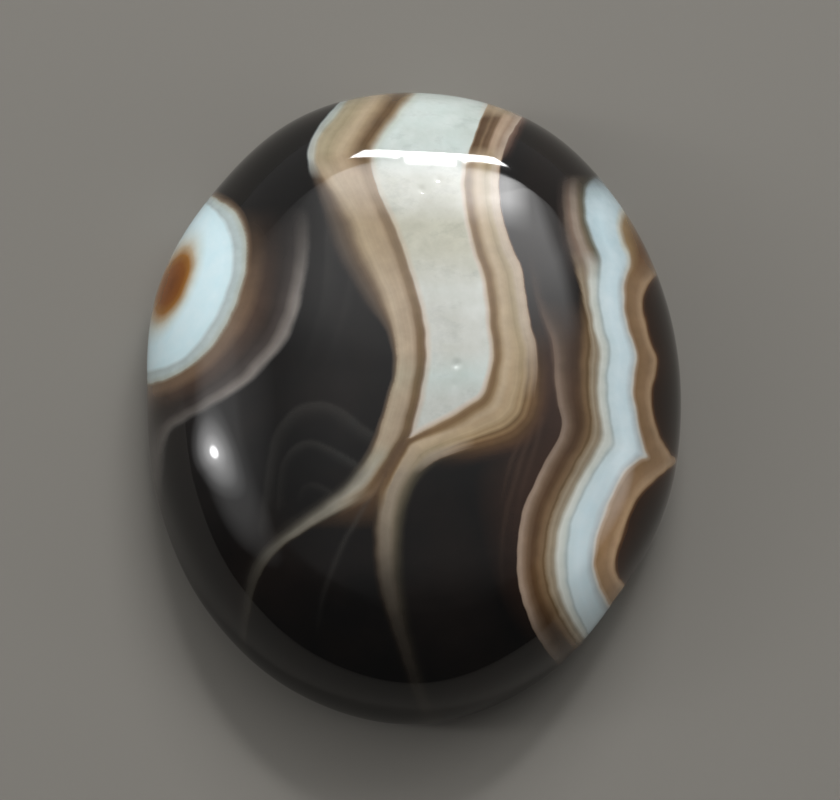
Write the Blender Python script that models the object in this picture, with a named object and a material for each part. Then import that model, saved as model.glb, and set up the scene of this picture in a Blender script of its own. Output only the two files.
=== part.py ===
"""A polished sulemani agate: one banded stone, cut as a tall freeform oval cabochon with a flat back.

Metres, +Z up. The stone lies on its flat back. The origin is in the middle of that back, +Y runs
along the stone's long way and +X across it.
"""

import math

import bmesh
import bpy

MM = 0.001

# Heights of the stone above the surface that it lies on, in millimetres
THICKNESS = 10.5
GIRDLE_HEIGHT = 1.8

# Radius of the rounded shoulder between the gently domed face and the girdle
SHOULDER_RADIUS = 7.4

# How far the flat back stays in from the girdle
BACK_INSET = 1.6

# Radius of the girdle every 22.5 degrees, counted from +X towards +Y: a slightly uneven oval
GIRDLE_RADII = (
    15.4, 15.9, 17.0, 18.4, 18.85, 18.7, 17.55, 16.85,
    16.0, 16.4, 17.4, 18.4, 18.7, 17.6, 16.1, 15.6,
)

# Steps of the surface: around the stone, then from the crown's top to the middle of the back
AROUND = 96
CROWN_STEPS = 20
SHOULDER_STEPS = 15
BELLY_STEPS = 7
STEPS_DOWN = CROWN_STEPS + SHOULDER_STEPS + BELLY_STEPS + 1

# The colour between the bands, which covers most of the stone
AGATE_COLOUR = (0.032, 0.026, 0.024, 1.0)
AGATE_ROUGHNESS = 0.06


def clear_scene():
    for old in list(bpy.data.objects):
        bpy.data.objects.remove(old, do_unlink=True)


def girdle_radius(bearing):
    """Radius of the girdle at a bearing in radians: a Catmull-Rom curve through GIRDLE_RADII."""
    count = len(GIRDLE_RADII)
    place = bearing / (2 * math.pi) * count
    step = math.floor(place)
    t = place - step
    before, start, end, after = (GIRDLE_RADII[(step + k) % count] for k in (-1, 0, 1, 2))
    bend = 2 * before - 5 * start + 4 * end - after
    twist = 3 * start - before - 3 * end + after
    return start + 0.5 * t * (end - before + t * (bend + t * twist))


def section(step, reach):
    """(radius, height) in millimetres of one step down the section whose girdle is at radius reach.

    The crown is a wide arc, the shoulder a tight one tangent to it, the belly a quarter ellipse.
    """
    rise = THICKNESS - GIRDLE_HEIGHT - SHOULDER_RADIUS
    run = reach - SHOULDER_RADIUS
    shoulder_start = 2 * math.atan(rise / run)
    crown_radius = SHOULDER_RADIUS + run / math.sin(shoulder_start)
    if step <= CROWN_STEPS:
        slope = shoulder_start * step / CROWN_STEPS
        drop = crown_radius * (1 - math.cos(slope))
        return crown_radius * math.sin(slope), THICKNESS - drop
    step -= CROWN_STEPS
    if step <= SHOULDER_STEPS:
        slope = shoulder_start + (math.pi / 2 - shoulder_start) * step / SHOULDER_STEPS
        height = GIRDLE_HEIGHT + SHOULDER_RADIUS * math.cos(slope)
        return run + SHOULDER_RADIUS * math.sin(slope), height
    step -= SHOULDER_STEPS
    if step <= BELLY_STEPS:
        turn = math.pi / 2 * step / BELLY_STEPS
        inset = BACK_INSET * (1 - math.cos(turn))
        return reach - inset, GIRDLE_HEIGHT * (1 - math.sin(turn))
    return 0.0, 0.0


def shape_stone(mesh):
    """Makes a unit sphere and moves each of its rings to that step of the stone's section."""
    bm = bmesh.new()
    bmesh.ops.create_uvsphere(bm, u_segments=AROUND, v_segments=STEPS_DOWN, radius=1.0)
    for vert in bm.verts:
        x, y, z = vert.co
        step = round(math.acos(max(-1.0, min(1.0, z))) / math.pi * STEPS_DOWN)
        bearing = math.atan2(y, x)
        radius, height = section(step, girdle_radius(bearing))
        vert.co = (radius * math.cos(bearing) * MM, radius * math.sin(bearing) * MM, height * MM)
    bm.to_mesh(mesh)
    bm.free()


def centre_on_origin(mesh):
    """Slides the stone so that the middle of its outline is over the origin."""
    for axis in (0, 1):
        places = [vert.co[axis] for vert in mesh.vertices]
        middle = (min(places) + max(places)) / 2
        for vert in mesh.vertices:
            vert.co[axis] -= middle


def agate_material():
    material = bpy.data.materials.new("polished_agate")
    material.use_nodes = True
    shader = material.node_tree.nodes["Principled BSDF"]
    shader.inputs["Base Color"].default_value = AGATE_COLOUR
    shader.inputs["Roughness"].default_value = AGATE_ROUGHNESS
    shader.inputs["Metallic"].default_value = 0.0
    return material


def main():
    clear_scene()
    collection = bpy.data.collections.new("sulemani_agate")
    bpy.context.scene.collection.children.link(collection)

    mesh = bpy.data.meshes.new("agate_stone")
    shape_stone(mesh)
    centre_on_origin(mesh)
    mesh.shade_smooth()
    mesh.materials.append(agate_material())

    stone = bpy.data.objects.new("agate_stone", mesh)
    collection.objects.link(stone)


main()
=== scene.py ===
"""The looks of a polished sulemani agate: black, brown and white chalcedony in bands, cut as a cabochon.

The bands are drawn as the lines between them, in pixels of the photograph. Each vertex of the stone
is looked up in that drawing through the photograph's camera, and keeps how far it is through each
group of bands. The material turns those numbers into colour.
"""

import math

import bpy
import numpy as np
from mathutils import Matrix, Vector


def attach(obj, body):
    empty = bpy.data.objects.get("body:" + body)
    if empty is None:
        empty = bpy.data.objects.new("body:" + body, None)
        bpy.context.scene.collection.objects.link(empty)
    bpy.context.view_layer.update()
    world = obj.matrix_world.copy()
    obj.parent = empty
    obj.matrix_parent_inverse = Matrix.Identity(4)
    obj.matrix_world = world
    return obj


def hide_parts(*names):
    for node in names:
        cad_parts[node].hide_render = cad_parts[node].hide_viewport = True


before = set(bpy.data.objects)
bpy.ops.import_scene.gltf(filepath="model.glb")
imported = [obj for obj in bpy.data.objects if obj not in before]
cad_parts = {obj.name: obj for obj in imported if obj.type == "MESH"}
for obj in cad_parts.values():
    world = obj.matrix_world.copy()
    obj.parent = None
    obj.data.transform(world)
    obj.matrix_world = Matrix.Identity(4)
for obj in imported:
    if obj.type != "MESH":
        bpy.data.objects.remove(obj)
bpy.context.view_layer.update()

MM = 0.001

# The stone's section and outline in millimetres, as part.py has them
THICKNESS = 10.5
GIRDLE_HEIGHT = 1.8
SHOULDER_RADIUS = 7.4
BACK_INSET = 1.6
GIRDLE_RADII = (
    15.4, 15.9, 17.0, 18.4, 18.85, 18.7, 17.55, 16.85,
    16.0, 16.4, 17.4, 18.4, 18.7, 17.6, 16.1, 15.6,
)

# Rings of vertices down each part of the section, and the gap between vertices along a ring
CROWN_RINGS = 80
SHOULDER_RINGS = 68
BELLY_RINGS = 13
BACK_RINGS = 44
RING_GAP = 0.126
BACK_RING_GAP = 0.3

# The photograph's frame and camera: focal length in pixels, and the lean of the line of sight
FRAME_WIDTH = 840
FRAME_HEIGHT = 800
FOCAL_PIXELS = 2720.0
SENSOR_WIDTH = 36.0
CAMERA_DISTANCE = 0.160
CAMERA_AIM = Vector((0.0003, 0.00025, 0.0018))
LEAN_LEFT = math.radians(5)
LEAN_NEAR = math.radians(12)

# The lines between the bands, in photograph pixels, each from the far side of the stone to the near
# side. A group's lines are in order from left to right.
LEFT_VEIN = {
    "haze": (
        (356, 80), (340, 100), (325, 118), (313, 135), (307, 150), (308, 166), (312, 184), (318, 203),
        (323, 222), (328, 243), (336, 262), (348, 282), (363, 306), (382, 328), (391, 352), (391, 376),
        (384, 402), (375, 428), (362, 454), (346, 474), (330, 489), (300, 509), (272, 529), (254, 548),
        (242, 570), (232, 600), (226, 640), (222, 700), (218, 760),
    ),
    "core": (
        (362, 80), (350, 100), (338, 118), (324, 135), (318, 150), (319, 164), (330, 182), (343, 203),
        (354, 222), (361, 243), (368, 260), (377, 277), (384, 293), (390, 312), (395, 335), (398, 357),
        (396, 378), (389, 402), (381, 430), (371, 455), (357, 476), (343, 491), (328, 502), (300, 524),
        (274, 543), (256, 561), (246, 584), (238, 612), (232, 650), (228, 700), (225, 760),
    ),
    "right": (
        (420, 80), (408, 98), (401, 105), (394, 115), (386, 125), (378, 137), (372, 147), (371, 161),
        (375, 182), (384, 204), (396, 231), (406, 259), (415, 287), (422, 312), (426, 340), (426, 365),
        (422, 390), (416, 416), (408, 440), (400, 452), (393, 464), (385, 476), (376, 488), (366, 498),
        (352, 506), (334, 515), (316, 525), (298, 536), (278, 551), (264, 569), (254, 594), (246, 640),
        (241, 700), (238, 760),
    ),
}
RIGHT_VEIN = {
    "left": (
        (496, 80), (490, 98), (483, 114), (477, 129), (471, 147), (466, 165), (465, 190), (468, 215),
        (475, 247), (484, 273), (489, 300), (491, 328), (494, 352), (490, 377), (483, 396), (471, 405),
        (450, 418), (430, 428), (408, 440), (400, 452), (393, 464), (386, 477), (380, 493), (376, 515),
        (375, 540), (376, 565), (379, 588), (386, 613), (394, 637), (402, 660), (410, 684), (418, 706),
        (427, 730), (438, 760),
    ),
    "right": (
        (544, 80), (524, 113), (517, 123), (511, 133), (506, 143), (503, 153), (500, 168), (499, 191),
        (503, 218), (512, 247), (522, 270), (526, 295), (531, 325), (537, 350), (537, 380), (534, 403),
        (528, 420), (514, 434), (493, 442), (468, 449), (446, 456), (430, 464), (418, 475), (409, 490),
        (403, 508), (400, 530), (400, 560), (402, 585), (406, 610), (412, 638), (420, 665), (430, 692),
        (442, 714), (456, 736), (472, 760),
    ),
}
RIGHT_BANDS = {
    "pink line": (
        (560, 92), (542, 140), (530, 180), (526, 215), (529, 250), (534, 280), (538, 300), (544, 322),
        (552, 347), (553, 373), (556, 400), (561, 424), (555, 443), (545, 460), (536, 478), (527, 497),
        (521, 516), (518, 539), (517, 562), (519, 585), (524, 605), (532, 627), (542, 646), (554, 661),
        (570, 680), (590, 702),
    ),
    "tan": (
        (578, 120), (566, 160), (563, 188), (564, 214), (567, 240), (573, 265), (580, 290), (586, 315),
        (590, 340), (588, 366), (588, 396), (591, 424), (586, 446), (576, 463), (566, 482), (557, 501),
        (550, 521), (546, 545), (545, 567), (549, 590), (557, 610), (567, 628), (580, 645), (600, 668),
    ),
    "cream": (
        (590, 140), (573, 172), (571, 190), (572, 214), (576, 235), (581, 250), (587, 266), (588, 286),
        (590, 306), (594, 330), (600, 353), (598, 371), (597, 396), (601, 422), (602, 438), (594, 454),
        (584, 472), (574, 491), (565, 510), (559, 529), (556, 550), (556, 572), (560, 593), (567, 612),
        (577, 629), (590, 645), (610, 666),
    ),
    "white": (
        (628, 160), (606, 172), (594, 178), (587, 188), (586, 206), (589, 226), (594, 241), (600, 254),
        (602, 267), (600, 283), (601, 305), (606, 330), (611, 351), (608, 375), (609, 402), (613, 430),
        (616, 445), (607, 456), (597, 471), (586, 491), (577, 510), (571, 529), (569, 550), (569, 575),
        (573, 597), (580, 616), (588, 632), (602, 652), (620, 668),
    ),
    "olive": (
        (664, 176), (640, 194), (628, 208), (622, 222), (624, 240), (630, 255), (630, 266), (626, 277),
        (624, 293), (625, 312), (629, 330), (637, 353), (635, 370), (633, 392), (637, 413), (640, 430),
        (645, 448), (648, 457), (640, 461), (628, 470), (617, 488), (608, 508), (601, 527), (596, 547),
        (594, 565), (598, 582), (605, 598), (616, 614), (640, 636),
    ),
    "dark rim": (
        (720, 244), (684, 263), (664, 272), (653, 278), (645, 289), (642, 303), (645, 322), (650, 342),
        (656, 356), (656, 370), (652, 386), (651, 402), (655, 422), (661, 438), (670, 453), (678, 461),
        (668, 469), (654, 481), (641, 494), (632, 509), (626, 526), (620, 542), (616, 558), (616, 572),
        (624, 584), (646, 604), (670, 620),
    ),
}
LEFT_RINGS = {
    "white": (
        (176, 190), (206, 206), (222, 225), (230, 254), (224, 289), (206, 327), (180, 357), (148, 369),
        (116, 373),
    ),
    "grey": (
        (186, 176), (212, 196), (236, 211), (246, 238), (244, 275), (229, 319), (205, 354), (174, 376),
        (142, 386), (112, 392),
    ),
    # The last line is where the mirrored ceiling ends; the pale grey line painted just inside it is a
    # painted reflection
    "painted reflection edge": (
        (290, 130), (302, 172), (308, 206), (309, 240), (307, 262), (300, 301), (294, 323), (284, 344),
        (268, 363), (249, 382), (230, 395), (210, 407), (186, 420), (170, 432), (164, 452), (162, 475),
        (159, 500), (155, 530), (148, 570),
    ),
}
GROUPS = {
    "left_vein": LEFT_VEIN, "right_vein": RIGHT_VEIN, "right_bands": RIGHT_BANDS,
    "left_rings": LEFT_RINGS,
}

# The brown spot inside the left rings: its middle, half its length and width, and its lean
SPOT_CENTRE = (172, 285)
SPOT_HALF_LENGTH = 35.0
SPOT_HALF_WIDTH = 12.5
SPOT_LEAN = math.radians(24)

# How far down the photograph the quartz ends in a tip, and how far from a vein's edge is still near it
QUARTZ_TIP = 440
EDGE_LIMIT = 30.0

# Thin lines in the dark body: points, reach in pixels to the left and to the right of the line, and
# strength at its first and last point
FAINT_LINES = (
    (((260, 530), (266, 488), (270, 455), (277, 432), (289, 415), (305, 405), (322, 403), (338, 408),
      (352, 418), (366, 429), (380, 437)), 9.0, 2.2, 0.3, 0.75),
    (((277, 505), (281, 468), (287, 454), (298, 444), (313, 441), (330, 448), (346, 457), (362, 466)),
     6.0, 1.6, 0.2, 0.75),
    (((296, 505), (303, 488), (314, 484), (330, 491)), 4.0, 1.8, 0.0, 0.4),
    (((330, 190), (327, 220), (326, 255), (324, 285), (319, 312), (310, 345), (299, 375)),
     2.0, 9.0, 0.5, 0.0),
    (((352, 262), (345, 300), (334, 340), (318, 378)), 2.0, 6.0, 0.25, 0.0),
    (((384, 470), (371, 494), (356, 520), (342, 546), (331, 572), (321, 602), (315, 640)),
     2.6, 2.6, 1.1, 0.0),
)
BROWN_LINES = (
    (((537, 392), (535, 412), (531, 430), (525, 448), (519, 467), (512, 490), (506, 513), (503, 537),
      (502, 566), (506, 604)), 2.6, 2.2, 0.55, 0.0),
    (((531, 404), (526, 425), (519, 442), (511, 461), (505, 482), (499, 510)), 2.0, 2.0, 0.7, 0.0),
    (((541, 418), (537, 438), (531, 458), (525, 477), (519, 500), (515, 530)), 2.4, 3.0, 0.4, 0.0),
    (((529, 255), (534, 280), (538, 300), (545, 322), (552, 343), (554, 362), (556, 385), (560, 405)),
     2.5, 4.5, 0.0, 1.5),
)

# Small pits in the white: photograph pixel, radius and depth in millimetres
PITS = (
    ((457, 364), 0.24, 0.090), ((454, 384), 0.20, 0.030), ((422, 190), 0.22, 0.020),
    ((438, 179), 0.16, 0.016), ((450, 350), 0.14, 0.015),
)

# How far the drawing strays from the photograph: in pixels on the face, in pixels more on the hidden
# side, and in fine waves, with the lengths of both kinds of wave in millimetres
STRAY = 0.5
HIDDEN_STRAY = 22.0
STRAY_LENGTH = 11.0
FINE_STRAY = 0.35
FINE_STRAY_LENGTH = 1.1

# Points to each stretch of a smooth line, pixels within which two stretches are as near as each
# other, the least width of a band, and the pixels that count as one more band outside a group
LINE_CUTS = 6
SAME_DISTANCE = 1e-6
LEAST_WIDTH = 0.01
OUTSIDE_BAND = 24.0

# Numbers that change down the photograph alone, as stops of (pixels down, number)
DOWN_STOPS = {
    "far_end": ((250, 1.0), (282, 0.0)),
    "ring_fade": ((205, 0.0), (250, 0.4), (305, 1.0), (390, 1.0), (410, 0.5), (520, 0.15)),
    "branch": ((444, 0.0), (474, 1.0)),
    "left_top": ((158, 1.0), (178, 0.0)),
    "right_top": ((108, 0.0), (118, 1.0), (146, 1.0), (160, 0.0)),
    "right_fade": ((500, 1.0), (540, 0.66), (580, 0.22), (620, 0.09), (715, 0.06)),
}

# The other changes down the photograph, in stops of the same kind
PINK_COVER = (
    (300, 0.0), (345, 0.3), (385, 0.55), (425, 0.7), (460, 0.9), (500, 1.0), (600, 1.0), (668, 0.2),
)
HIDDEN_UNTIL = ((290, 1.96), (350, 1.6))
TAN_COVER = ((174, 0.0), (188, 0.45), (200, 0.75), (214, 1.0))
WHITE_COVER = ((172, 0.0), (188, 0.65), (200, 0.87), (216, 1.0))
# Painted light: the near bands on the right are made lighter lower down, and the bands past the white band
# more so, to stand in for light falling there
RIGHT_PAINTED_LIGHT = ((430, 1.0), (480, 1.08), (540, 1.22), (600, 1.3))
PAST_WHITE_PAINTED_LIGHT = ((430, 0.0), (540, 0.7))
BROWN_REACH = ((250, 20), (330, 45), (420, 60), (480, 56), (560, 30), (640, 14))
BROWN_SHARE = ((300, 0.1), (350, 0.7), (390, 1.0), (480, 0.9), (560, 0.5), (640, 0.2))
INTO_QUARTZ = ((QUARTZ_TIP - 14, EDGE_LIMIT), (QUARTZ_TIP - 5, 2.5), (QUARTZ_TIP, -2.0))
NARROWING = ((375, 1.0), (402, 0.85), (QUARTZ_TIP - 12, 0.85), (QUARTZ_TIP + 6, 1.8))
BEND_DOWN = ((325, 0.0), (360, 0.45), (400, 1.0))
LEFT_EDGE_DOWN = ((140, 0.0), (152, 0.35), (190, 0.35), (215, 0.75), (290, 0.75), (335, 1.0))
RIGHT_EDGE_DOWN = ((150, 0.4), (180, 1.0), (478, 1.0), (512, 0.0))
TONE_DOWN = (
    (150, -1.0), (178, 0.3), (205, 0.4), (224, 1.0), (250, 0.9), (290, 0.0), (350, 0.0),
    (400, -2.0), (440, -2.0), (474, 0.0),
)
WEDGE_DOWN = ((476, 1.0), (500, 0.6), (530, 0.0))
MEETING_DOWN = ((426, 0.0), (446, 0.85), (472, 0.85), (500, 0.0))

# Changes across the photograph, as stops of (pixels across, share)
BEND_ACROSS = ((430, 0.0), (476, 1.0))
LEFT_FADE_ACROSS = ((236, 0.0), (275, 0.24), (300, 0.42), (330, 0.6), (350, 0.95), (370, 1.0))
LEFT_EDGE_ACROSS = ((335, 0.0), (372, 1.0))

# Changes across the bands on the right, as stops of (band, share), and how fast the near bands show
IN_WHITE = ((3.8, 0.0), (4.0, 1.0))
PAST_WHITE = ((4.9, 0.0), (5.1, 1.0))
SHOWING_WIDTH = 0.25

# Changes across a vein, as stops of (pixels to the right of its line beside the quartz, share). The
# first row counts pixels from either line into the space between the veins.
BETWEEN_VEINS = ((-1.0, 0.0), (1.0, 1.0))
TONE_PAST_LEFT = ((-60.0, 0.0), (-48.0, 1.0))
TONE_PAST_RIGHT = ((2.0, 1.0), (8.0, 0.0))
MEETING_PAST_LEFT = ((-9.0, 0.0), (-6.0, 1.0))
MEETING_PAST_RIGHT = ((2.5, 1.0), (6.0, 0.0))
RIGHT_EDGE_PAST_LEFT = ((0.0, 0.0), (2.0, 1.0))

# Pixels from a vein's line at which the brown of its edge ends, above and below the quartz's tip, how
# soft that end is, and where the right vein's brown starts to give way to the left vein
EDGE_END = 12.0
EDGE_END_BELOW = 4.0
EDGE_SOFTNESS = 4.0
GIVING_WAY = -1.5


def straight(colour):
    """A screen colour, each part from 0 to 255, as the light values that Blender works in."""
    parts = []
    for part in colour:
        share = part / 255
        parts.append(share / 12.92 if share <= 0.04045 else ((share + 0.055) / 1.055) ** 2.4)
    return (*parts, 1.0)


def curve_point(before, start, end, after, share):
    """The point of a Catmull-Rom curve at a share of the way from start to end."""
    bend = 2 * before - 5 * start + 4 * end - after
    twist = 3 * start - before - 3 * end + after
    return start + 0.5 * share * (end - before + share * (bend + share * twist))


# The stone's shape

def girdle_radius(bearing):
    """Radius of the girdle at bearings in radians: a smooth curve through GIRDLE_RADII."""
    radii = np.array(GIRDLE_RADII)
    place = bearing / (2 * math.pi) * len(radii)
    step = np.floor(place).astype(int)
    before, start, end, after = (radii[(step + k) % len(radii)] for k in (-1, 0, 1, 2))
    return curve_point(before, start, end, after, place - step)


def ring_places(part, share, reach):
    """(radius, height) in millimetres at a share of the way down one part of the section."""
    crown_height = THICKNESS - GIRDLE_HEIGHT - SHOULDER_RADIUS
    run = reach - SHOULDER_RADIUS
    shoulder_start = 2 * np.arctan(crown_height / run)
    if part == "crown":
        crown_radius = SHOULDER_RADIUS + run / np.sin(shoulder_start)
        slope = shoulder_start * share
        return crown_radius * np.sin(slope), THICKNESS - crown_radius * (1 - np.cos(slope))
    if part == "shoulder":
        slope = shoulder_start + (math.pi / 2 - shoulder_start) * share
        return run + SHOULDER_RADIUS * np.sin(slope), GIRDLE_HEIGHT + SHOULDER_RADIUS * np.cos(slope)
    if part == "belly":
        turn = math.pi / 2 * share
        inset = BACK_INSET * (1 - math.cos(turn))
        return reach - inset, np.full_like(reach, GIRDLE_HEIGHT * (1 - math.sin(turn)))
    return (reach - BACK_INSET) * (1 - share), np.zeros_like(reach)


def ring_list():
    """The rings from the crown's top to the middle of the back, each as its vertices' places."""
    rings = [np.array([[0.0, 0.0, THICKNESS]])]
    parts = (
        ("crown", CROWN_RINGS, RING_GAP), ("shoulder", SHOULDER_RINGS, RING_GAP),
        ("belly", BELLY_RINGS, RING_GAP), ("back", BACK_RINGS, BACK_RING_GAP),
    )
    mean_reach = np.array([sum(GIRDLE_RADII) / len(GIRDLE_RADII)])
    for part, count, gap in parts:
        for step in range(1, count + 1):
            share = step / count
            mean_radius = float(ring_places(part, share, mean_reach)[0][0])
            around = max(1, round(2 * math.pi * mean_radius / gap))
            bearing = 2 * math.pi * np.arange(around) / around
            radius, height = ring_places(part, share, girdle_radius(bearing))
            rings.append(np.stack([radius * np.cos(bearing), radius * np.sin(bearing), height], axis=1))
    return rings


def stitch(first_start, first_count, second_start, second_count):
    """Triangles between two rings with different numbers of vertices, facing out."""
    faces = []
    first = second = 0
    while first < first_count or second < second_count:
        first_next = (first + 1) / first_count if first < first_count else 2.0
        second_next = (second + 1) / second_count if second < second_count else 2.0
        here = first_start + first % first_count
        there = second_start + second % second_count
        if first_next < second_next:
            first += 1
            if first_count > 1:
                faces.append((here, there, first_start + first % first_count))
        else:
            second += 1
            if second_count > 1:
                faces.append((here, there, second_start + second % second_count))
    return faces


def stone_surface():
    """Vertices in metres, about as in the CAD solid but far closer together, and triangles."""
    rings = ring_list()
    places = np.concatenate(rings)
    for axis in (0, 1):
        places[:, axis] -= (places[:, axis].min() + places[:, axis].max()) / 2
    faces = []
    start = 0
    for ring, following in zip(rings, rings[1:]):
        faces += stitch(start, len(ring), start + len(ring), len(following))
        start += len(ring)
    return places * MM, faces


# The drawing of the bands

def turned_to(right, up, back):
    """The rotation of an object whose X, Y and Z axes point these ways."""
    return Matrix((right, up, back)).transposed().to_euler()


def camera_axes():
    """The camera's place, and the directions of its right, its up and its back."""
    back = Vector((-math.sin(LEAN_LEFT), -math.sin(LEAN_NEAR), 0.0))
    back.z = math.sqrt(1 - back.length_squared)
    right = Vector((0.0, 1.0, 0.0)).cross(back).normalized()
    return CAMERA_AIM + CAMERA_DISTANCE * back, right, back.cross(right), back


def photo_pixels(places):
    """Where places in metres show in the photograph."""
    eye, right, up, back = (np.array(axis) for axis in camera_axes())
    sight = places - eye
    depth = -(sight @ back)
    across = FRAME_WIDTH / 2 + FOCAL_PIXELS * (sight @ right) / depth
    down = FRAME_HEIGHT / 2 - FOCAL_PIXELS * (sight @ up) / depth
    return np.stack([across, down], axis=1)


def waves(places, length, seed):
    """A smooth random number from about -1 to 1 at each place, with waves of about that length."""
    chance = np.random.default_rng(seed)
    total = np.zeros(len(places))
    count = 7
    for _ in range(count):
        direction = chance.normal(size=places.shape[1])
        direction /= np.linalg.norm(direction)
        turns = places @ direction / (length * chance.uniform(0.7, 1.5))
        total += np.sin(2 * math.pi * (turns + chance.uniform()))
    return total / math.sqrt(count)


def smooth_line(points):
    """A smooth curve through points, as a closer row of points."""
    points = np.array(points, dtype=float)
    padded = np.concatenate([[2 * points[0] - points[1]], points, [2 * points[-1] - points[-2]]])
    row = []
    for before, start, end, after in zip(padded, padded[1:], padded[2:], padded[3:]):
        row += [curve_point(before, start, end, after, cut / LINE_CUTS) for cut in range(LINE_CUTS)]
    return np.array(row + [points[-1]])


def line_gap(pixels, points):
    """Distance from a line, positive on its right as seen in the photograph, and share along it."""
    line = smooth_line(points)
    nearest = np.full(len(pixels), np.inf)
    offset = np.zeros(len(pixels))
    along = np.zeros(len(pixels))
    for step, (start, end) in enumerate(zip(line, line[1:])):
        run = end - start
        length = math.hypot(*run)
        from_start = pixels - start
        share = np.clip(from_start @ run / length ** 2, 0, 1)
        miss = from_start - share[:, None] * run
        gap = np.hypot(miss[:, 0], miss[:, 1])
        side = (from_start[:, 0] * run[1] - from_start[:, 1] * run[0]) / length
        tie = np.abs(gap - nearest) < SAME_DISTANCE
        closer = (gap < nearest) & ~tie | tie & (np.abs(side) > np.abs(offset))
        nearest = np.where(closer, gap, nearest)
        offset = np.where(closer, side, offset)
        along = np.where(closer, (step + share) / (len(line) - 1), along)
    return np.where(offset < 0, -nearest, nearest), along


def band_phase(gaps):
    """How many of a group's lines have been crossed, with the share of the way to the next one.

    Outside the group it goes on, by 1 for each OUTSIDE_BAND pixels.
    """
    phase = np.minimum(gaps[0], 0) / OUTSIDE_BAND + np.maximum(gaps[-1], 0) / OUTSIDE_BAND
    for gap, following in zip(gaps, gaps[1:]):
        width = np.maximum(gap - following, LEAST_WIDTH)
        phase += np.clip(gap / width, 0, 1)
    return phase


def glow_along(pixels, lines):
    """The strongest of a set of thin soft lines at each pixel."""
    glow = np.zeros(len(pixels))
    for points, left_reach, right_reach, first_strength, last_strength in lines:
        gap, along = line_gap(pixels, points)
        strength = first_strength + (last_strength - first_strength) * along
        reach = np.where(gap < 0, left_reach, right_reach)
        glow = np.maximum(glow, strength * np.exp(-(gap / reach) ** 2))
    return glow


def rise(values, stops):
    """A number that goes through (value, number) stops, and stays level outside them."""
    places, heights = zip(*stops)
    return np.interp(values, places, heights)


def drawn_pixels(places):
    """The photograph pixel whose bands each vertex takes.

    On the hidden side the drawing is bent more and more, so that the back is related to the face and
    not its copy.
    """
    pixels = photo_pixels(places)
    millimetres = places / MM
    depth = np.clip((GIRDLE_HEIGHT - millimetres[:, 2]) / GIRDLE_HEIGHT, 0, 1)
    stray = STRAY + HIDDEN_STRAY * depth
    for axis in (0, 1):
        pixels[:, axis] += stray * waves(millimetres, STRAY_LENGTH, seed=3 + axis)
        pixels[:, axis] += FINE_STRAY * waves(millimetres, FINE_STRAY_LENGTH, seed=5 + axis)
    return pixels


def band_numbers(places):
    """The numbers that each vertex keeps for the material, by name."""
    pixels = drawn_pixels(places)
    down = pixels[:, 1]
    gaps = {}
    for group, lines in GROUPS.items():
        gaps[group] = [line_gap(pixels, points)[0] for points in lines.values()]
    numbers = {group: band_phase(found) for group, found in gaps.items()}
    numbers["right_bands"] += 1
    for name, stops in DOWN_STOPS.items():
        numbers[name] = rise(down, stops)
    numbers.update(vein_numbers(pixels, gaps["left_vein"][-1], gaps["right_vein"][0]))

    # How strongly the bands on the right show along their way, and the painted light that makes them
    # lighter lower down
    bands = numbers["right_bands"]
    showing = np.clip((bands - rise(down, HIDDEN_UNTIL)) / SHOWING_WIDTH, 0, 1)
    numbers["near_cover"] = np.maximum(rise(down, PINK_COVER), showing)
    tan_cover = rise(down, TAN_COVER)
    white_cover = rise(down, WHITE_COVER)
    numbers["far_cover"] = tan_cover + (white_cover - tan_cover) * rise(bands, IN_WHITE)
    past_white = rise(bands, PAST_WHITE) * rise(down, PAST_WHITE_PAINTED_LIGHT)
    numbers["light"] = rise(down, RIGHT_PAINTED_LIGHT) * (1 + past_white)

    # Brown in the dark body beside the pink line
    beside = np.clip(1 + gaps["right_bands"][0] / rise(down, BROWN_REACH), 0, 1)
    numbers["brown"] = beside * rise(down, BROWN_SHARE)

    numbers["faint"] = glow_along(pixels, FAINT_LINES)
    numbers["brown_lines"] = glow_along(pixels, BROWN_LINES)

    lean = (math.sin(SPOT_LEAN), -math.cos(SPOT_LEAN))
    from_spot = pixels - np.array(SPOT_CENTRE)
    length_share = (from_spot[:, 0] * lean[0] + from_spot[:, 1] * lean[1]) / SPOT_HALF_LENGTH
    width_share = (from_spot[:, 0] * lean[1] - from_spot[:, 1] * lean[0]) / SPOT_HALF_WIDTH
    numbers["spot"] = np.hypot(length_share, width_share)
    return numbers


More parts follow.
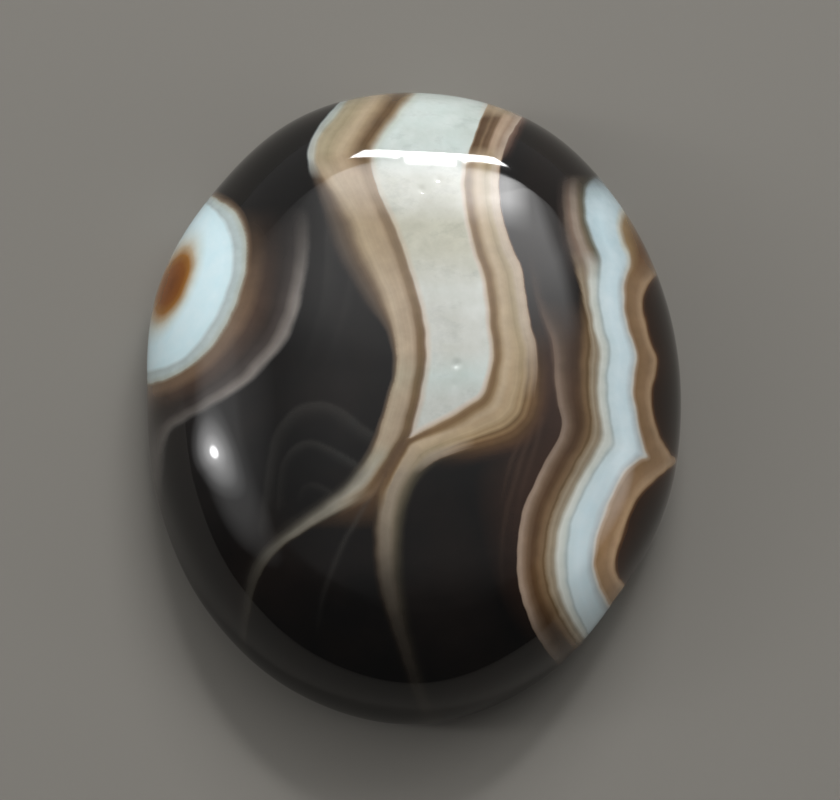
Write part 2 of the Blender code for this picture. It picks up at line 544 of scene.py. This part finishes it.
def vein_numbers(pixels, left_gap, right_gap):
    """How the two veins change along their way, from their edges beside the quartz."""
    across = pixels[:, 0]
    down = pixels[:, 1]
    above_tip = down < QUARTZ_TIP
    into_gap = np.minimum(left_gap, -right_gap)
    into_quartz = rise(down, INTO_QUARTZ)
    numbers = {
        "left_edge": np.clip(left_gap, -EDGE_LIMIT, into_quartz),
        "right_edge": np.clip(right_gap, -into_quartz, EDGE_LIMIT) * rise(down, NARROWING),
        "quartz": np.where(above_tip, into_gap, -EDGE_LIMIT),
        "bend": rise(down, BEND_DOWN) * rise(across, BEND_ACROSS),
        "left_fade": np.where(down > QUARTZ_TIP, rise(across, LEFT_FADE_ACROSS), 1.0),
    }

    # The brown of both edges ends in the quartz, and fades out along the branches
    edge_end = np.where(above_tip, EDGE_END, EDGE_END_BELOW)
    left_share = rise(down, LEFT_EDGE_DOWN)
    left_share *= np.where(above_tip, 1.0, rise(across, LEFT_EDGE_ACROSS))
    numbers["left_edge_share"] = left_share * np.clip((edge_end - left_gap) / EDGE_SOFTNESS, 0, 1)
    right_share = rise(down, RIGHT_EDGE_DOWN)
    right_share *= np.where(right_gap < GIVING_WAY, rise(left_gap, RIGHT_EDGE_PAST_LEFT), 1.0)
    numbers["right_edge_share"] = right_share * np.clip((edge_end + right_gap) / EDGE_SOFTNESS, 0, 1)

    # The quartz and the left vein are bluish at the far end, warmer near it, and duller near the tip
    beside_quartz = rise(left_gap, TONE_PAST_LEFT) * rise(right_gap, TONE_PAST_RIGHT)
    numbers["tone"] = rise(down, TONE_DOWN) * beside_quartz

    # Plain brown fills the wedge between the branches, and covers the veins where they meet
    between = rise(into_gap, BETWEEN_VEINS)
    numbers["wedge"] = between * ~above_tip * rise(down, WEDGE_DOWN)
    near_both = rise(left_gap, MEETING_PAST_LEFT) * rise(right_gap, MEETING_PAST_RIGHT)
    numbers["meeting"] = rise(down, MEETING_DOWN) * (1 - between * above_tip) * near_both
    return numbers


def dig_pits(places):
    """Presses the small pits into the polished face."""
    pixels = photo_pixels(places)
    on_face = places[:, 2] > GIRDLE_HEIGHT * MM
    pixels_per_mm = FOCAL_PIXELS * MM / CAMERA_DISTANCE
    for pixel, radius, depth in PITS:
        away = np.hypot(*(pixels - np.array(pixel)).T) / pixels_per_mm / radius
        places[on_face, 2] -= depth * MM * np.exp(-away[on_face] ** 2)


# Nodes

# The Mix node's sockets for colours: share, under, over and result
MIX_SHARE = 0
MIX_UNDER = 6
MIX_OVER = 7
MIX_RESULT = 2


class Paint:
    """Adds nodes to a material, a light or the world and joins them."""

    def __init__(self, owner, shader="Principled BSDF"):
        owner.use_nodes = True
        self.tree = owner.node_tree
        self.shader = self.tree.nodes[shader]

    def node(self, kind, inputs=(), **settings):
        node = self.tree.nodes.new(kind)
        for name, value in settings.items():
            setattr(node, name, value)
        for socket, value in dict(inputs).items():
            self.feed(node.inputs[socket], value)
        return node

    def feed(self, socket, value):
        if isinstance(value, bpy.types.NodeSocket):
            self.tree.links.new(value, socket)
        else:
            socket.default_value = value

    def number(self, name):
        """A number that the vertices keep."""
        return self.node("ShaderNodeAttribute", attribute_name=name).outputs["Fac"]

    def maths(self, operation, first, second=0.0, clamp=False):
        inputs = {0: first, 1: second}
        return self.node("ShaderNodeMath", inputs, operation=operation, use_clamp=clamp).outputs[0]

    def spread(self, value, low, high, new_low=0.0, new_high=1.0):
        """A number moved from one range to another, and held inside it."""
        inputs = {"Value": value, "From Min": low, "From Max": high, "To Min": new_low, "To Max": new_high}
        return self.node("ShaderNodeMapRange", inputs).outputs["Result"]

    def stops_node(self, value, stops):
        """A colour ramp with a row of (share, light values and cover) stops."""
        node = self.node("ShaderNodeValToRGB", {"Fac": value})
        elements = node.color_ramp.elements
        middle = 0.5
        while len(elements) < len(stops):
            elements.new(middle)
        for element, (share, colour) in zip(elements, stops):
            element.position = share
            element.color = colour
        return node

    def ramp(self, value, stops):
        """Colour and cover through a row of (number, screen colour, cover) stops."""
        low = stops[0][0]
        high = stops[-1][0]
        shares = [
            ((place - low) / (high - low), (*straight(colour)[:3], cover))
            for place, colour, cover in stops
        ]
        node = self.stops_node(self.spread(value, low, high), shares)
        return node.outputs["Color"], node.outputs["Alpha"]

    def curve(self, value, stops):
        """A number through a row of (share, number) stops, none of them above 1."""
        greys = [(share, (height, height, height, 1.0)) for share, height in stops]
        return self.stops_node(value, greys).outputs["Color"]

    def blend(self, share, under, over, blend_type="MIX"):
        inputs = {MIX_SHARE: share, MIX_UNDER: under, MIX_OVER: over}
        node = self.node("ShaderNodeMix", inputs, data_type="RGBA", blend_type=blend_type)
        return node.outputs[MIX_RESULT]

    def noise(self, scale, detail=3.0, stretch=(1.0, 1.0, 1.0), roughness=0.5):
        """Cloudy noise whose size is in features per metre."""
        place = self.node("ShaderNodeTexCoord").outputs["Object"]
        stretched = self.node("ShaderNodeVectorMath", {0: place, 1: stretch}, operation="MULTIPLY")
        inputs = {"Vector": stretched.outputs[0], "Scale": scale, "Detail": detail, "Roughness": roughness}
        return self.node("ShaderNodeTexNoise", inputs).outputs["Fac"]


# Colours of the bands, as the ramps across each group

BLACK = (12, 11, 11)
CLOUD_BLACK = (24, 19, 17)
DARK_BROWN = (56, 38, 29)
WEDGE_BROWN = (96, 72, 50)
MEETING_BROWN = (92, 71, 52)
FAINT_GREY = (74, 72, 68)
FAINT_BROWN = (98, 78, 66)
QUARTZ_SHADE = (197, 198, 190)
QUARTZ_LIGHT = (215, 219, 214)
QUARTZ_STREAK = (166, 171, 166)

# How strongly the thin grey and brown lines show in the dark body
FAINT_SHARE = 0.4
BROWN_LINE_SHARE = 0.7

# Fine texture: how strong the grain and the lines along the bands are, and lines across a vein
GRAIN_SHARE = 0.10
BAND_LINE_SHARE = 0.05
VEIN_LINES = 7.0
GRAIN_RAMP = ((0.3, (0, 0, 0), 1.0), (0.7, (255, 255, 255), 1.0))

# Noise in features per metre, and the share of them along each axis in the quartz's streaks
CLOUD_SCALE = 160
QUARTZ_CLOUD_SCALE = 190
STREAK_SCALE = 900
STREAK_STRETCH = (0.6, 1.0, 1.0)
GRAIN_SCALE = 900
SMEAR_SCALE = 350

# The quartz's soft border in pixels, and the polish: index of refraction, least and most roughness
QUARTZ_BORDER = (-1.2, 0.6)
AGATE_INDEX = 1.54
ROUGHNESS = (0.035, 0.06)

# Ramps by the place among a vein's lines, as stops of (number, screen colour, cover)
LEFT_VEIN_RAMP = (
    (0.0, (30, 26, 23), 0.0), (0.2, (56, 47, 40), 0.75), (0.4, (78, 67, 57), 1.0),
    (0.6, (90, 75, 61), 1.0), (0.73, (109, 92, 74), 1.0), (0.87, (141, 123, 102), 1.0),
    (1.03, (169, 152, 129), 1.0), (1.15, (182, 165, 142), 1.0), (1.35, (175, 157, 134), 1.0),
    (1.7, (176, 157, 134), 1.0), (1.99, (172, 153, 130), 1.0), (2.03, (203, 204, 197), 0.0),
)
LEFT_TOP_RAMP = (
    (0.0, (100, 110, 112), 0.0), (0.2, (160, 164, 160), 1.0), (0.6, (168, 168, 158), 1.0),
    (0.95, (162, 147, 122), 1.0), (1.2, (160, 142, 114), 1.0), (1.45, (180, 156, 129), 1.0),
    (1.56, (164, 140, 112), 1.0), (1.66, (140, 115, 89), 1.0), (1.79, (102, 77, 52), 1.0),
    (1.88, (98, 73, 49), 1.0), (1.95, (128, 105, 80), 1.0), (2.04, (170, 155, 137), 1.0),
    (2.2, (192, 192, 180), 0.8), (2.5, (204, 208, 202), 0.0),
)
LEFT_BRANCH_RAMP = (
    (0.0, (60, 57, 50), 0.0), (0.5, (84, 80, 71), 0.35), (1.0, (128, 123, 111), 0.85),
    (1.3, (160, 155, 141), 1.0), (1.7, (160, 154, 139), 1.0), (1.87, (130, 123, 108), 1.0),
    (1.98, (80, 73, 61), 0.9), (2.1, (44, 38, 30), 0.0),
)
RIGHT_VEIN_RAMP = (
    (-0.03, (190, 176, 152), 0.0), (0.0, (178, 160, 134), 1.0), (0.35, (182, 163, 136), 1.0),
    (0.5, (176, 157, 128), 1.0), (0.6, (156, 140, 111), 1.0), (0.68, (166, 151, 124), 1.0),
    (0.78, (184, 169, 149), 1.0), (0.92, (184, 168, 149), 1.0), (0.98, (168, 148, 128), 1.0),
    (1.01, (96, 76, 62), 1.0), (1.07, (56, 42, 34), 0.0),
)
RIGHT_TOP_RAMP = (
    (-0.06, (160, 142, 120), 0.0), (0.0, (130, 110, 88), 1.0), (0.05, (82, 60, 40), 1.0),
    (0.2, (86, 65, 45), 1.0), (0.28, (116, 95, 72), 1.0), (0.36, (90, 68, 48), 1.0),
    (0.48, (106, 84, 63), 1.0), (0.56, (160, 137, 115), 1.0), (0.68, (168, 147, 126), 1.0),
    (0.8, (146, 125, 106), 1.0), (0.9, (158, 140, 123), 1.0), (0.99, (166, 151, 136), 1.0),
    (1.03, (112, 89, 77), 1.0), (1.25, (60, 42, 36), 0.8), (1.5, (30, 24, 22), 0.0),
)
BEND_RAMP = (
    (0.3, (176, 155, 126), 0.0), (0.42, (172, 150, 120), 1.0), (0.55, (176, 155, 124), 1.0),
    (0.66, (152, 130, 98), 1.0), (0.72, (164, 141, 108), 1.0), (0.8, (112, 88, 58), 1.0),
    (0.87, (134, 108, 76), 1.0), (0.94, (98, 73, 46), 1.0), (1.02, (98, 74, 48), 1.0),
    (1.12, (84, 61, 38), 0.95), (1.3, (84, 60, 40), 0.75), (1.5, (74, 51, 36), 0.5),
    (1.8, (58, 39, 29), 0.0),
)
RIGHT_BRANCH_RAMP = (
    (-0.2, (44, 35, 26), 0.0), (-0.04, (66, 54, 42), 0.7), (0.08, (108, 94, 78), 1.0),
    (0.22, (142, 129, 112), 1.0), (0.5, (148, 136, 119), 1.0), (0.66, (132, 120, 102), 1.0),
    (0.8, (104, 95, 78), 0.95), (1.0, (74, 68, 54), 0.7), (1.25, (46, 42, 34), 0.0),
)

# Ramps by the distance in pixels from a vein's edge beside the quartz
LEFT_EDGE_RAMP = (
    (-14.0, (160, 140, 116), 0.0), (-10.5, (140, 118, 92), 0.6), (-8.0, (122, 100, 74), 1.0),
    (-4.5, (110, 88, 60), 1.0), (-1.5, (116, 94, 72), 1.0), (0.0, (160, 142, 124), 1.0),
    (1.2, (200, 187, 172), 1.0), (4.0, (204, 196, 184), 0.8), (7.0, (204, 200, 190), 0.0),
)
RIGHT_EDGE_RAMP = (
    (-6.0, (204, 200, 190), 0.0), (-3.5, (203, 192, 180), 0.8), (-1.0, (188, 171, 150), 1.0),
    (0.8, (136, 113, 86), 1.0), (2.5, (120, 95, 66), 1.0), (5.0, (122, 97, 66), 1.0),
    (7.5, (138, 114, 82), 0.9), (10.5, (160, 138, 106), 0.55), (13.5, (174, 153, 124), 0.0),
)

# Ramps by the place among the bands on the right, by the tone, by the place among the rings on the
# left, and by the distance from the spot's middle as a share of its half size
RIGHT_BANDS_RAMP = (
    (0.99, (110, 90, 76), 0.0), (1.03, (142, 123, 107), 1.0), (1.13, (148, 129, 113), 1.0),
    (1.24, (126, 106, 88), 1.0), (1.38, (99, 78, 59), 1.0), (1.53, (80, 58, 38), 1.0),
    (1.66, (86, 64, 42), 1.0), (1.8, (110, 87, 63), 1.0), (1.9, (112, 91, 67), 1.0),
    (1.96, (96, 76, 52), 1.0), (2.08, (128, 110, 87), 1.0), (2.4, (150, 137, 117), 1.0),
    (2.62, (138, 125, 105), 1.0), (2.85, (146, 137, 121), 1.0), (3.02, (172, 169, 156), 1.0),
    (3.25, (200, 203, 196), 1.0), (3.6, (192, 198, 192), 1.0), (3.86, (168, 180, 180), 1.0),
    (4.03, (198, 214, 218), 1.0), (4.35, (204, 222, 228), 1.0), (4.66, (200, 218, 224), 1.0),
    (4.86, (180, 190, 193), 1.0), (4.95, (192, 190, 182), 1.0), (5.03, (154, 134, 112), 1.0),
    (5.16, (124, 98, 70), 1.0), (5.6, (132, 106, 79), 1.0), (5.88, (156, 131, 103), 1.0),
    (5.97, (138, 112, 84), 1.0), (6.04, (72, 46, 24), 1.0), (6.16, (36, 16, 3), 1.0),
    (6.6, (25, 11, 4), 1.0), (7.3, (16, 9, 5), 1.0),
)
FAR_BANDS_RAMP = (
    (1.8, (50, 42, 38), 0.0), (1.95, (48, 40, 36), 1.0), (2.15, (92, 80, 71), 1.0),
    (2.5, (110, 95, 84), 1.0), (2.8, (124, 106, 94), 1.0), (3.05, (146, 131, 118), 1.0),
    (3.3, (150, 136, 122), 1.0), (3.6, (112, 100, 82), 1.0), (3.8, (96, 92, 78), 1.0),
    (3.95, (130, 136, 130), 1.0), (4.06, (184, 202, 208), 1.0), (4.4, (194, 215, 222), 1.0),
    (4.8, (188, 206, 212), 1.0), (4.94, (186, 186, 174), 1.0), (5.05, (134, 110, 76), 1.0),
    (5.3, (86, 52, 14), 1.0), (6.2, (70, 42, 12), 1.0),
)
TONE_RAMP = (
    (-2.0, (239, 240, 240), 1.0), (-1.0, (244, 253, 255), 1.0), (0.0, (255, 255, 255), 1.0),
    (1.0, (233, 229, 216), 1.0),
)
# Past the grey ring comes a dark brown halo; the pale grey line at its outer end is a painted reflection,
# where the mirrored ceiling ends
LEFT_RINGS_RAMP = (
    (-0.3, (213, 237, 244), 1.0), (0.04, (208, 231, 237), 1.0), (0.3, (173, 186, 187), 1.0),
    (0.6, (177, 190, 190), 1.0), (0.9, (171, 177, 168), 1.0), (0.99, (138, 128, 112), 1.0),
    (1.05, (110, 89, 70), 1.0), (1.18, (108, 87, 69), 1.0), (1.34, (72, 56, 46), 1.0),
    (1.6, (52, 44, 40), 1.0), (1.74, (66, 59, 56), 1.0), (1.84, (110, 103, 98), 1.0),
    (1.93, (126, 120, 115), 1.0), (2.02, (76, 73, 71), 0.8), (2.14, (30, 30, 30), 0.0),
)
SPOT_RAMP = (
    (0.0, (108, 58, 8), 1.0), (0.62, (124, 70, 14), 1.0), (0.9, (146, 98, 38), 1.0),
    (1.15, (172, 142, 98), 0.85), (1.45, (196, 184, 158), 0.45), (1.95, (204, 216, 212), 0.0),
)


def dark_body(paint):
    """Near-black chalcedony with a little brown in clouds, and the thin lines in it."""
    clouds = paint.noise(CLOUD_SCALE, detail=4)
    body = paint.blend(paint.spread(clouds, 0.45, 0.75), straight(BLACK), straight(CLOUD_BLACK))
    body = paint.blend(paint.number("brown"), body, straight(DARK_BROWN))
    body = paint.blend(paint.number("wedge"), body, straight(WEDGE_BROWN))
    faint = paint.maths("MULTIPLY", paint.number("faint"), FAINT_SHARE, clamp=True)
    body = paint.blend(faint, body, straight(FAINT_GREY))
    lines = paint.maths("MULTIPLY", paint.number("brown_lines"), BROWN_LINE_SHARE, clamp=True)
    return paint.blend(lines, body, straight(FAINT_BROWN))


def quartz(paint):
    """Milky white quartz: soft clouds, and fine streaks across the stone."""
    clouds = paint.noise(QUARTZ_CLOUD_SCALE, detail=5, roughness=0.6)
    white = paint.blend(paint.spread(clouds, 0.3, 0.7), straight(QUARTZ_SHADE), straight(QUARTZ_LIGHT))
    streaks = paint.noise(STREAK_SCALE, detail=5, stretch=STREAK_STRETCH, roughness=0.65)
    shade = paint.spread(streaks, 0.53, 0.72, 0.0, 0.5)
    return paint.blend(shade, white, straight(QUARTZ_STREAK))


def with_lines(paint, colour, number, lines_per_band):
    """A colour with fine lighter and darker lines along the bands."""
    inputs = {"W": number, "Scale": lines_per_band, "Detail": 2.0, "Roughness": 0.5}
    lines = paint.node("ShaderNodeTexNoise", inputs, noise_dimensions="1D").outputs["Fac"]
    return paint.blend(BAND_LINE_SHARE, colour, paint.ramp(lines, GRAIN_RAMP)[0], "OVERLAY")


def layer(paint, colour, number, stops, strength=1.0, lines_per_band=0.0):
    """Lays a group of bands over a colour, with its cover times a strength."""
    over, cover = paint.ramp(number, stops)
    if lines_per_band:
        over = with_lines(paint, over, number, lines_per_band)
    return paint.blend(paint.maths("MULTIPLY", cover, strength, clamp=True), colour, over)


def rings_on_left(paint, body):
    """White and grey rings round a brown spot, in a dark brown halo that ends in a pale line, which is a
    painted reflection where the mirrored ceiling ends.
    """
    rings = paint.number("left_rings")
    colour = layer(paint, body, rings, LEFT_RINGS_RAMP)
    outer = paint.spread(rings, 0.99, 1.1)
    fading = paint.maths("SUBTRACT", 1.0, paint.number("ring_fade"))
    hidden = paint.maths("MULTIPLY", outer, fading, clamp=True)
    colour = paint.blend(hidden, colour, body)
    return layer(paint, colour, paint.number("spot"), SPOT_RAMP)


def bands_on_right(paint, colour):
    """The broad white band with tan, brown and cream beside it, duller at the far end, and made lighter
    lower down by painted light.
    """
    bands = paint.number("right_bands")
    near_colour, near_cover = paint.ramp(bands, RIGHT_BANDS_RAMP)
    # Painted light: the near bands' colour is scaled up lower down by the light number
    lit = {0: near_colour, "Scale": paint.number("light")}
    near_colour = paint.node("ShaderNodeVectorMath", lit, operation="SCALE").outputs[0]
    near_cover = paint.maths("MULTIPLY", near_cover, paint.number("near_cover"))
    near_bands = paint.blend(near_cover, colour, near_colour)
    far_bands = layer(paint, colour, bands, FAR_BANDS_RAMP, paint.number("far_cover"))
    return paint.blend(paint.number("far_end"), near_bands, far_bands)


def left_vein(paint, colour):
    phase = paint.number("left_vein")
    high = layer(paint, colour, phase, LEFT_VEIN_RAMP, 1.0, VEIN_LINES)
    top = layer(paint, colour, phase, LEFT_TOP_RAMP, 1.0, VEIN_LINES)
    high = paint.blend(paint.number("left_top"), high, top)
    low = layer(paint, colour, phase, LEFT_BRANCH_RAMP, paint.number("left_fade"))
    colour = paint.blend(paint.number("branch"), high, low)
    return layer(paint, colour, paint.number("left_edge"), LEFT_EDGE_RAMP, paint.number("left_edge_share"))


def right_vein(paint, colour):
    phase = paint.number("right_vein")
    high = layer(paint, colour, phase, RIGHT_VEIN_RAMP, 1.0, VEIN_LINES)
    high = layer(paint, high, phase, BEND_RAMP, paint.number("bend"), VEIN_LINES)
    low = layer(paint, colour, phase, RIGHT_BRANCH_RAMP, paint.number("right_fade"))
    vein = paint.blend(paint.number("branch"), high, low)
    vein = layer(paint, vein, paint.number("right_edge"), RIGHT_EDGE_RAMP, paint.number("right_edge_share"))
    vein = paint.blend(paint.number("meeting"), vein, straight(MEETING_BROWN))
    top = layer(paint, colour, phase, RIGHT_TOP_RAMP)
    return paint.blend(paint.number("right_top"), vein, top)


def agate_material():
    material = bpy.data.materials.new("polished_agate")
    paint = Paint(material)
    colour = rings_on_left(paint, dark_body(paint))
    colour = bands_on_right(paint, colour)
    is_quartz = paint.spread(paint.number("quartz"), *QUARTZ_BORDER)
    colour = paint.blend(is_quartz, colour, quartz(paint))
    colour = left_vein(paint, colour)
    tone = paint.ramp(paint.number("tone"), TONE_RAMP)[0]
    colour = paint.blend(1.0, colour, tone, "MULTIPLY")
    colour = right_vein(paint, colour)

    grain = paint.noise(GRAIN_SCALE, detail=4, roughness=0.6)
    colour = paint.blend(GRAIN_SHARE, colour, paint.ramp(grain, GRAIN_RAMP)[0], "OVERLAY")
    paint.feed(paint.shader.inputs["Base Color"], colour)
    paint.shader.inputs["IOR"].default_value = AGATE_INDEX
    smears = paint.noise(SMEAR_SCALE, detail=3)
    paint.feed(paint.shader.inputs["Roughness"], paint.spread(smears, 0.3, 0.7, *ROUGHNESS))
    return material


def make_stone():
    places, faces = stone_surface()
    numbers = band_numbers(places)
    dig_pits(places)
    mesh = bpy.data.meshes.new("agate_polished")
    mesh.from_pydata(places.tolist(), [], faces)
    mesh.shade_smooth()
    for name, values in numbers.items():
        attribute = mesh.attributes.new(name, "FLOAT", "POINT")
        attribute.data.foreach_set("value", values.astype(np.float32))
    mesh.materials.append(agate_material())
    stone = bpy.data.objects.new("agate_polished", mesh)
    bpy.context.scene.collection.objects.link(stone)
    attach(stone, "root")
    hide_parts("agate_stone")
    return stone


# The studio

# The floor in metres, just under the stone's flat back
FLOOR_SIZE = 1.2
FLOOR_HEIGHT = -0.00002
FLOOR_GREY = (128, 125, 119)
FLOOR_ROUGHNESS = 0.85

# How near to itself the camera still sees, in metres
NEAREST_SEEN = 0.01


def make_floor():
    """A plain pale table top under the stone."""
    bpy.ops.mesh.primitive_plane_add(size=FLOOR_SIZE, location=(0.0, 0.0, FLOOR_HEIGHT))
    floor = bpy.context.object
    floor.name = "floor"
    material = bpy.data.materials.new("pale_floor")
    paint = Paint(material)
    paint.shader.inputs["Base Color"].default_value = straight(FLOOR_GREY)
    paint.shader.inputs["Roughness"].default_value = FLOOR_ROUGHNESS
    floor.data.materials.append(material)


def make_camera():
    eye, right, up, back = camera_axes()
    data = bpy.data.cameras.new("camera")
    data.sensor_width = SENSOR_WIDTH
    data.lens = FOCAL_PIXELS / max(FRAME_WIDTH, FRAME_HEIGHT) * SENSOR_WIDTH
    data.clip_start = NEAREST_SEEN
    camera = bpy.data.objects.new("camera", data)
    camera.location = eye
    camera.rotation_euler = turned_to(right, up, back)
    bpy.context.scene.collection.objects.link(camera)
    bpy.context.scene.camera = camera


def mirrored(stone, pixel):
    """Where on the stone a photograph pixel is, and the direction that the polish mirrors there."""
    eye, right, up, back = camera_axes()
    across = (pixel[0] - FRAME_WIDTH / 2) / FOCAL_PIXELS
    upward = (FRAME_HEIGHT / 2 - pixel[1]) / FOCAL_PIXELS
    sight = (right * across + up * upward - back).normalized()
    hit, place, normal, _ = stone.ray_cast(eye, sight)
    if not hit:
        raise ValueError(f"no stone at pixel {pixel}")
    return place, sight - 2 * sight.dot(normal) * normal


# The panels over the stone: a dim ceiling, a brighter one on its right, and a window at the far end
CEILING_SIZE = (0.87, 0.62)
CEILING_MIDDLE = (-0.015, 0.14, 0.51)
CEILING_RADIANCE = 1.1
SKY_SIZE = (0.28, 0.28)
SKY_MIDDLE = (0.24, 0.28, 0.505)
SKY_LEAN = math.radians(18)
SKY_RADIANCE = 2.2
WINDOW_SIZE = (0.46, 0.12)
WINDOW_MIDDLE = (0.06, 0.393, 0.50)
WINDOW_RADIANCE = 9.5

# Lamps that are placed by their mirror image in the polish, at these photograph pixels. The tube's
# first and last lengths fade out over a share of them.
LAMP_DISTANCE = 0.6
TUBE_PIXELS = ((356, 154), (405, 155), (455, 157), (502, 161))
TUBE_WIDTH = 0.046
TUBE_RADIANCE = 38.0
TUBE_END = 0.08
LAMP_PIXEL = (214, 452)
LAMP_SIZE = (0.2, 0.56)
LAMP_RADIANCE = 26.0
WALL_PIXEL = (222, 440)
WALL_SIZE = (0.7, 0.62)
WALL_RADIANCE = 0.9
STRIP_PIXELS = ((622, 405), (577, 577))
STRIP_WIDTH = 0.26
STRIP_RADIANCE = 2.4

# How bright each panel is across and along it, as stops of (share, brightness)
EVEN = ((0.0, 1.0), (1.0, 1.0))
CEILING_ACROSS = ((0.0, 0.0), (0.15, 0.12), (0.25, 0.3), (0.38, 1.0), (0.93, 1.0), (1.0, 0.0))
CEILING_ALONG = (
    (0.0, 0.0), (0.08, 0.106), (0.2, 0.118), (0.43, 0.255), (0.53, 0.425), (0.63, 0.626), (0.74, 0.8),
    (1.0, 0.9),
)
SKY_ACROSS = ((0.0, 0.0), (0.3, 0.7), (0.85, 1.0), (1.0, 0.0))
SKY_ALONG = ((0.0, 0.0), (0.35, 0.5), (0.7, 1.0), (1.0, 1.0))
WINDOW_ACROSS = ((0.0, 0.0), (0.1, 0.26), (0.5, 0.3), (0.68, 0.85), (0.84, 1.0), (1.0, 0.0))
WINDOW_ALONG = ((0.0, 0.0), (0.25, 0.35), (0.5, 0.9), (1.0, 1.0))

# How bright the other lights are from their middle out, in stops of the same kind
LAMP_OUT = ((0.0, 1.0), (0.13, 0.95), (0.18, 0.3), (0.45, 0.13), (0.75, 0.03), (1.0, 0.0))
WALL_OUT = ((0.0, 1.0), (0.5, 0.8), (1.0, 0.0))
STRIP_OUT = ((0.0, 1.0), (0.4, 0.8), (1.0, 0.0))

# The room round the stone: its near and far side as the Y part of a direction, their strengths, and
# its tint
WORLD_WAY = (-0.4, 0.9)
WORLD_STRENGTH = (0.05, 0.38)
WORLD_TINT = (1.0, 0.98, 0.95, 1.0)


class Studio:
    """Flat lights placed over the stone."""

    def __init__(self, stone):
        self.stone = stone

    def panel(self, name, place, facing, across, size, radiance):
        """facing is where the light's back points, across is the direction of its first side."""
        data = bpy.data.lights.new(name, "AREA")
        data.shape = "RECTANGLE"
        data.size, data.size_y = size
        data.energy = radiance * math.pi * size[0] * size[1]
        light = bpy.data.objects.new(name, data)
        light.location = place
        side = (across - facing * across.dot(facing)).normalized()
        light.rotation_euler = turned_to(side, facing.cross(side), facing)
        light.visible_camera = False
        bpy.context.scene.collection.objects.link(light)
        return light

    def overhead(self, name, place, size, radiance, lean=0.0):
        across = Vector((math.cos(lean), math.sin(lean), 0.0))
        return self.panel(name, place, Vector((0.0, 0.0, 1.0)), across, size, radiance)

    def mirrored_panel(self, name, pixels, width, radiance):
        """A panel whose mirror image in the polish runs from one photograph pixel to another."""
        places = [mirrored(self.stone, pixel) for pixel in pixels]
        first, last = (place + LAMP_DISTANCE * way for place, way in places)
        middle = (first + last) / 2
        facing = (middle - Vector((0.0, 0.0, THICKNESS * MM))).normalized()
        return self.panel(name, middle, facing, last - first, ((last - first).length, width), radiance)

    def mirrored_lamp(self, name, pixel, size, radiance):
        place, way = mirrored(self.stone, pixel)
        across = Vector((0.0, 1.0, 0.0))
        return self.panel(name, place + LAMP_DISTANCE * way, way, across, size, radiance)


def panel_shares(light):
    """The nodes that shade a light, and the share of the way across and along it."""
    paint = Paint(light.data, "Emission")
    shares = paint.node("ShaderNodeNewGeometry").outputs["Parametric"]
    split = paint.node("ShaderNodeSeparateXYZ", {"Vector": shares}).outputs
    return paint, split["X"], split["Y"]


def fade_panel(light, across_stops, along_stops):
    """Shades a panel from side to side and from end to end, by stops of (share, brightness)."""
    paint, across, along = panel_shares(light)
    strength = paint.maths("MULTIPLY", paint.curve(across, across_stops), paint.curve(along, along_stops))
    paint.feed(paint.shader.inputs["Strength"], strength)


def fade_round(light, stops):
    """Shades a panel from its middle out, by stops of (share of its half width, brightness)."""
    paint, across, along = panel_shares(light)
    off_middle = [paint.maths("ABSOLUTE", paint.spread(share, 0, 1, -1, 1)) for share in (across, along)]
    squares = [paint.maths("MULTIPLY", part, part) for part in off_middle]
    reach = paint.maths("SQRT", paint.maths("ADD", *squares), clamp=True)
    paint.feed(paint.shader.inputs["Strength"], paint.curve(reach, stops))


def make_world():
    """Dim all round, and darkest on the near side."""
    world = bpy.data.worlds.new("studio")
    paint = Paint(world, "Background")
    way = paint.node("ShaderNodeTexCoord").outputs["Generated"]
    split = paint.node("ShaderNodeSeparateXYZ", {"Vector": way}).outputs
    paint.feed(paint.shader.inputs["Strength"], paint.spread(split["Y"], *WORLD_WAY, *WORLD_STRENGTH))
    paint.shader.inputs["Color"].default_value = WORLD_TINT
    bpy.context.scene.world = world


def make_lights(stone):
    """Panels over the stone, a bent tube at the far end, and soft lights on its left and right."""
    studio = Studio(stone)
    ceiling = studio.overhead("ceiling", CEILING_MIDDLE, CEILING_SIZE, CEILING_RADIANCE)
    fade_panel(ceiling, CEILING_ACROSS, CEILING_ALONG)
    sky = studio.overhead("sky", SKY_MIDDLE, SKY_SIZE, SKY_RADIANCE, SKY_LEAN)
    fade_panel(sky, SKY_ACROSS, SKY_ALONG)
    window = studio.overhead("window", WINDOW_MIDDLE, WINDOW_SIZE, WINDOW_RADIANCE)
    fade_panel(window, WINDOW_ACROSS, WINDOW_ALONG)
    lengths = [
        studio.mirrored_panel("tube", pixels, TUBE_WIDTH, TUBE_RADIANCE)
        for pixels in zip(TUBE_PIXELS, TUBE_PIXELS[1:])
    ]
    fade_panel(lengths[0], ((0.0, 0.0), (TUBE_END, 1.0), (1.0, 1.0)), EVEN)
    fade_panel(lengths[-1], ((0.0, 1.0), (1 - TUBE_END, 1.0), (1.0, 0.0)), EVEN)
    lamp = studio.mirrored_lamp("left_lamp", LAMP_PIXEL, LAMP_SIZE, LAMP_RADIANCE)
    fade_round(lamp, LAMP_OUT)
    wall = studio.mirrored_lamp("left_wall", WALL_PIXEL, WALL_SIZE, WALL_RADIANCE)
    fade_round(wall, WALL_OUT)
    strip = studio.mirrored_panel("right_strip", STRIP_PIXELS, STRIP_WIDTH, STRIP_RADIANCE)
    fade_round(strip, STRIP_OUT)
    make_world()


stone = make_stone()
make_floor()
make_camera()
make_lights(stone)
bpy.context.scene.view_settings.view_transform = "Standard"
